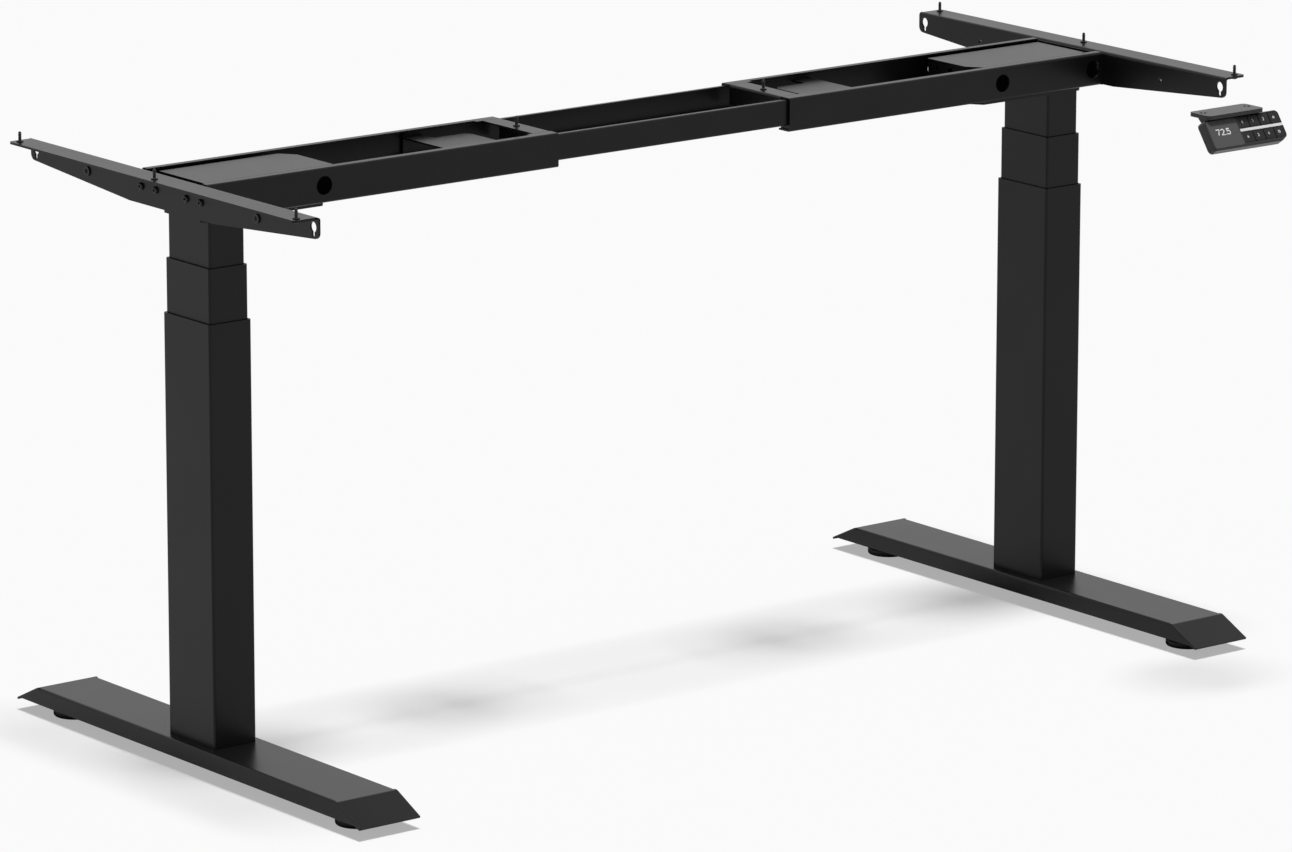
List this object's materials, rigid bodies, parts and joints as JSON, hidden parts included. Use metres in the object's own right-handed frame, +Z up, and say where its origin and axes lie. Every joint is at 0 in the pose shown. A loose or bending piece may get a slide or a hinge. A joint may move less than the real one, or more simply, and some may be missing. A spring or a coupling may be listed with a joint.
{
  "type": "standing desk frame",
  "caption": "Height-adjustable standing desk frame: telescoping columns on folded feet, sliding top rails, side brackets and a push-button handset.",
  "frame": {"origin": "middle of the plan of the whole part on the floor; the handset stands out in front, so the columns' centre line lies 57 mm behind the origin", "axes": "+X to the right along the rails as seen by the person at the desk, +Y towards the back, +Z up"},
  "size_m": [1.2956, 0.7504, 0.6543],
  "materials": {
    "powder_coat": "fine matte black powder coat",
    "zinc_plate": "zinc plated and darkened",
    "bare_steel": "greased steel",
    "motor_case": "cast and dull",
    "nylon": "self-lubricating, dull",
    "glide_plastic": "moulded, satin",
    "handset_plastic": "fine spark-eroded texture",
    "handset_window": "smoked window",
    "key_plastic": "smooth keys"
  },
  "bodies": {
    "left_base": {"left_foot": "powder_coat", "left_foot_screws": "zinc_plate", "left_outer_tube": "powder_coat", "left_outer_liner": "nylon", "left_base_screw": "bare_steel"},
    "left_mid_stage": {"left_mid_tube": "powder_coat", "left_mid_liner": "nylon", "left_hollow_screw": "bare_steel"},
    "left_end_frame": {"left_inner_tube": "powder_coat", "left_drive_tube": "bare_steel", "left_motor": "motor_case", "left_motor_box": "powder_coat", "left_rail_front": "powder_coat", "left_rail_back": "powder_coat", "left_end_plate": "powder_coat", "left_cross_strip": "powder_coat", "left_rail_pads": "nylon", "left_bracket": "powder_coat", "left_bracket_screws": "zinc_plate", "left_rivet_nuts": "zinc_plate", "left_desktop_screws": "zinc_plate"},
    "left_front_glide": {"left_glide_front": "glide_plastic"},
    "left_back_glide": {"left_glide_back": "glide_plastic"},
    "right_base": {"right_foot": "powder_coat", "right_foot_screws": "zinc_plate", "right_outer_tube": "powder_coat", "right_outer_liner": "nylon", "right_base_screw": "bare_steel"},
    "right_mid_stage": {"right_mid_tube": "powder_coat", "right_mid_liner": "nylon", "right_hollow_screw": "bare_steel"},
    "right_end_frame": {"right_inner_tube": "powder_coat", "right_drive_tube": "bare_steel", "right_motor": "motor_case", "right_motor_box": "powder_coat", "right_rail_front": "powder_coat", "right_rail_back": "powder_coat", "right_end_plate": "powder_coat", "right_cross_strip": "powder_coat", "right_rail_pads": "nylon", "right_bracket": "powder_coat", "right_bracket_screws": "zinc_plate", "right_rivet_nuts": "zinc_plate", "right_desktop_screws": "zinc_plate", "handset_case": "handset_plastic", "handset_screen": "handset_window"},
    "right_front_glide": {"right_glide_front": "glide_plastic"},
    "right_back_glide": {"right_glide_back": "glide_plastic"},
    "middle_rails": {"middle_rail_front": "powder_coat", "middle_rail_back": "powder_coat", "left_bridge_plate": "powder_coat", "right_bridge_plate": "powder_coat"},
    "up_key": {"key_up": "key_plastic"},
    "one_key": {"key_one": "key_plastic"},
    "two_key": {"key_two": "key_plastic"},
    "mode_key": {"key_mode": "key_plastic"},
    "down_key": {"key_down": "key_plastic"},
    "three_key": {"key_three": "key_plastic"},
    "four_key": {"key_four": "key_plastic"},
    "clock_key": {"key_clock": "key_plastic"}
  },
  "joints": [
    {"name": "left_lower_lift", "type": "slide", "parent": "left_base", "child": "left_mid_stage", "axis": [0, 0, 1], "range_m": [-0.0215, 0.303]},
    {"name": "left_upper_lift", "type": "slide", "parent": "left_mid_stage", "child": "left_end_frame", "axis": [0, 0, 1], "range_m": [-0.0215, 0.303]},
    {"name": "left_width_slide", "type": "slide", "parent": "left_end_frame", "child": "middle_rails", "axis": [1, 0, 0], "range_m": [-0.15, 0.045]},
    {"name": "right_width_slide", "type": "slide", "parent": "middle_rails", "child": "right_end_frame", "axis": [1, 0, 0], "range_m": [-0.15, 0.045]},
    {"name": "right_upper_lift", "type": "slide", "parent": "right_end_frame", "child": "right_mid_stage", "axis": [0, 0, -1], "range_m": [-0.0215, 0.303]},
    {"name": "right_lower_lift", "type": "slide", "parent": "right_mid_stage", "child": "right_base", "axis": [0, 0, -1], "range_m": [-0.0215, 0.303]},
    {"name": "left_front_glide_turn", "type": "hinge", "parent": "left_base", "child": "left_front_glide", "pos_m": [-0.575, -0.20527, 0.015], "axis": [0, 0, 1], "range_deg": [-1440, 1440]},
    {"name": "left_back_glide_turn", "type": "hinge", "parent": "left_base", "child": "left_back_glide", "pos_m": [-0.575, 0.31873, 0.015], "axis": [0, 0, 1], "range_deg": [-1440, 1440]},
    {"name": "right_front_glide_turn", "type": "hinge", "parent": "right_base", "child": "right_front_glide", "pos_m": [0.575, -0.20527, 0.015], "axis": [0, 0, 1], "range_deg": [-1440, 1440]},
    {"name": "right_back_glide_turn", "type": "hinge", "parent": "right_base", "child": "right_back_glide", "pos_m": [0.575, 0.31873, 0.015], "axis": [0, 0, 1], "range_deg": [-1440, 1440]},
    {"name": "up_key_press", "type": "slide", "parent": "right_end_frame", "child": "up_key", "axis": [0, 0.8192, -0.5736], "range_m": [0, 0.0008], "stiffness_N_per_m": 600, "springref_m": -0.0004},
    {"name": "one_key_press", "type": "slide", "parent": "right_end_frame", "child": "one_key", "axis": [0, 0.8192, -0.5736], "range_m": [0, 0.0008], "stiffness_N_per_m": 600, "springref_m": -0.0004},
    {"name": "two_key_press", "type": "slide", "parent": "right_end_frame", "child": "two_key", "axis": [0, 0.8192, -0.5736], "range_m": [0, 0.0008], "stiffness_N_per_m": 600, "springref_m": -0.0004},
    {"name": "mode_key_press", "type": "slide", "parent": "right_end_frame", "child": "mode_key", "axis": [0, 0.8192, -0.5736], "range_m": [0, 0.0008], "stiffness_N_per_m": 600, "springref_m": -0.0004},
    {"name": "down_key_press", "type": "slide", "parent": "right_end_frame", "child": "down_key", "axis": [0, 0.8192, -0.5736], "range_m": [0, 0.0008], "stiffness_N_per_m": 600, "springref_m": -0.0004},
    {"name": "three_key_press", "type": "slide", "parent": "right_end_frame", "child": "three_key", "axis": [0, 0.8192, -0.5736], "range_m": [0, 0.0008], "stiffness_N_per_m": 600, "springref_m": -0.0004},
    {"name": "four_key_press", "type": "slide", "parent": "right_end_frame", "child": "four_key", "axis": [0, 0.8192, -0.5736], "range_m": [0, 0.0008], "stiffness_N_per_m": 600, "springref_m": -0.0004},
    {"name": "clock_key_press", "type": "slide", "parent": "right_end_frame", "child": "clock_key", "axis": [0, 0.8192, -0.5736], "range_m": [0, 0.0008], "stiffness_N_per_m": 600, "springref_m": -0.0004}
  ],
  "couplings": [
    {"joint": "left_upper_lift", "follows": "left_lower_lift", "ratio": 1},
    {"joint": "right_upper_lift", "follows": "left_lower_lift", "ratio": 1},
    {"joint": "right_lower_lift", "follows": "left_lower_lift", "ratio": 1}
  ]
}
